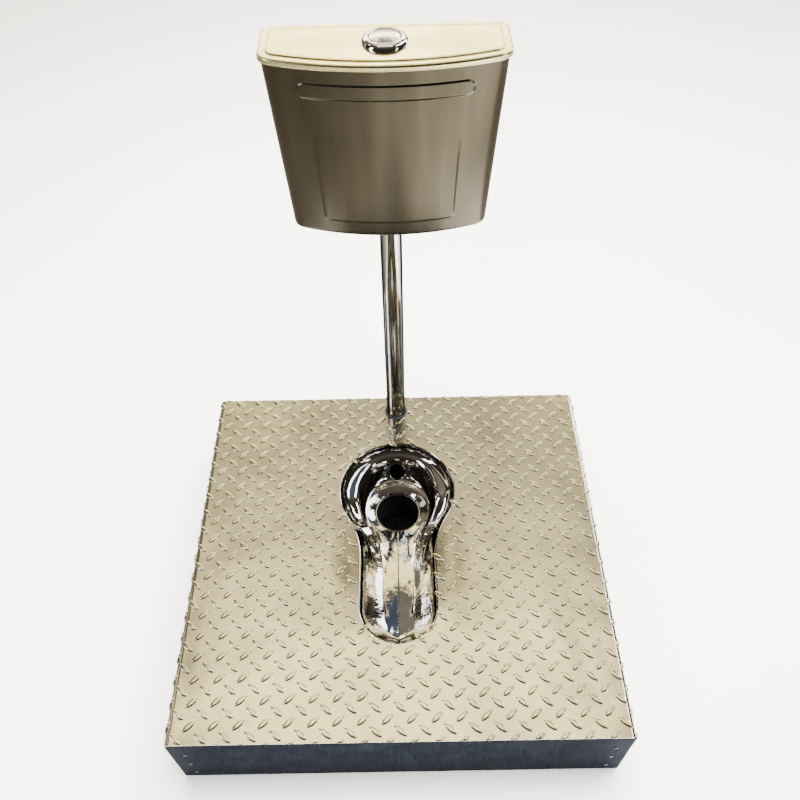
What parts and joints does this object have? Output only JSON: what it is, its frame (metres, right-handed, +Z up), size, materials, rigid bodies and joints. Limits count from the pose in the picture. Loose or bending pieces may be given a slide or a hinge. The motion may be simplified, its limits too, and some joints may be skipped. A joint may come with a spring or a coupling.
{
  "type": "squat toilet",
  "caption": "Raised chequer-plate platform with a sunk keyhole squat pan, and a bow-fronted dual-flush cistern above it on a flush pipe.",
  "frame": {"origin": "on the floor, at the centre of the four floor bolts and of the platform's footprint", "axes": "+X to the right for someone facing the wall, +Y from the front of the platform to the wall, +Z up"},
  "size_m": [0.9032, 0.8516, 1.1749],
  "materials": {
    "outlet_plastic": "black polyethylene",
    "head_plastic": "blue moulded plastic",
    "fastener_steel": "zinc-bright steel",
    "brass": "turned brass",
    "button_chrome": "polished chrome plate",
    "elbow_plastic": "dark grey polyethylene",
    "deck_steel": "chequered stainless, brushed",
    "float_plastic": "hollow polystyrene float",
    "frame_steel": "mill-finish stainless angle and tube",
    "lid_steel": "brushed stainless",
    "pan_steel": "mirror-polished stainless",
    "pipe_steel": "mirror-polished stainless tube",
    "core_plastic": "red moulded plastic",
    "rubber": "black rubber",
    "shell_steel": "brushed stainless",
    "skirt_steel": "smooth stainless sheet",
    "valve_plastic": "white moulded plastic"
  },
  "bodies": {
    "toilet": {"deck_plate": "deck_steel", "front_skirt": "skirt_steel", "rear_skirt": "skirt_steel", "side_skirts": "skirt_steel", "skirt_rivets": "fastener_steel", "front_rail": "frame_steel", "rear_rail": "frame_steel", "side_rails": "frame_steel", "bearers": "frame_steel", "legs": "frame_steel", "foot_pads": "rubber", "floor_brackets": "frame_steel", "squat_pan": "pan_steel", "pan_clips": "frame_steel", "clip_studs": "fastener_steel", "clip_nuts": "fastener_steel", "outlet_ring": "pan_steel", "outlet_connector": "outlet_plastic", "outlet_seal": "rubber", "outlet_studs": "fastener_steel", "outlet_nuts": "fastener_steel", "inlet_spigot": "pipe_steel", "flush_elbow": "elbow_plastic", "elbow_seal": "rubber", "flush_pipe": "pipe_steel", "deck_grommet": "rubber", "coupling_nut": "pipe_steel", "coupling_seal": "rubber", "cistern_shell": "shell_steel", "hanging_rail": "frame_steel", "valve_base": "valve_plastic", "valve_gasket": "rubber", "valve_backnut": "valve_plastic", "valve_cage": "valve_plastic", "valve_head": "head_plastic", "fill_valve": "valve_plastic", "fill_gasket": "rubber", "fill_nut": "brass", "float_pin": "fastener_steel"},
    "lid": {"cistern_lid": "lid_steel", "button_ring": "button_chrome", "ring_nut": "valve_plastic", "full_spring": "fastener_steel", "half_spring": "fastener_steel"},
    "full_button": {"full_flush_button": "button_chrome", "full_push_rod": "fastener_steel"},
    "half_button": {"half_flush_button": "button_chrome", "half_push_rod": "fastener_steel"},
    "flush_core": {"valve_core": "core_plastic", "core_seal": "rubber"},
    "float_swing": {"float_arm": "brass", "float": "float_plastic"}
  },
  "joints": [
    {"name": "lid_lift", "type": "slide", "parent": "toilet", "child": "lid", "axis": [0, 0, 1], "range_m": [0, 0.15]},
    {"name": "full_press", "type": "slide", "parent": "lid", "child": "full_button", "axis": [0, 0, -1], "range_m": [0, 0.006], "stiffness_N_per_m": 400, "deforming": ["full_spring"]},
    {"name": "half_press", "type": "slide", "parent": "lid", "child": "half_button", "axis": [0, 0, -1], "range_m": [0, 0.006], "stiffness_N_per_m": 400, "deforming": ["half_spring"]},
    {"name": "core_lift", "type": "slide", "parent": "toilet", "child": "flush_core", "axis": [0, 0, 1], "range_m": [0, 0.018]},
    {"name": "float_drop", "type": "hinge", "parent": "toilet", "child": "float_swing", "pos_m": [-0.132, 0.382, 1.075], "axis": [0, 1, 0], "range_deg": [0, 25]}
  ],
  "couplings": [
    {"joint": "core_lift", "follows": "full_press", "ratio": 3}
  ]
}
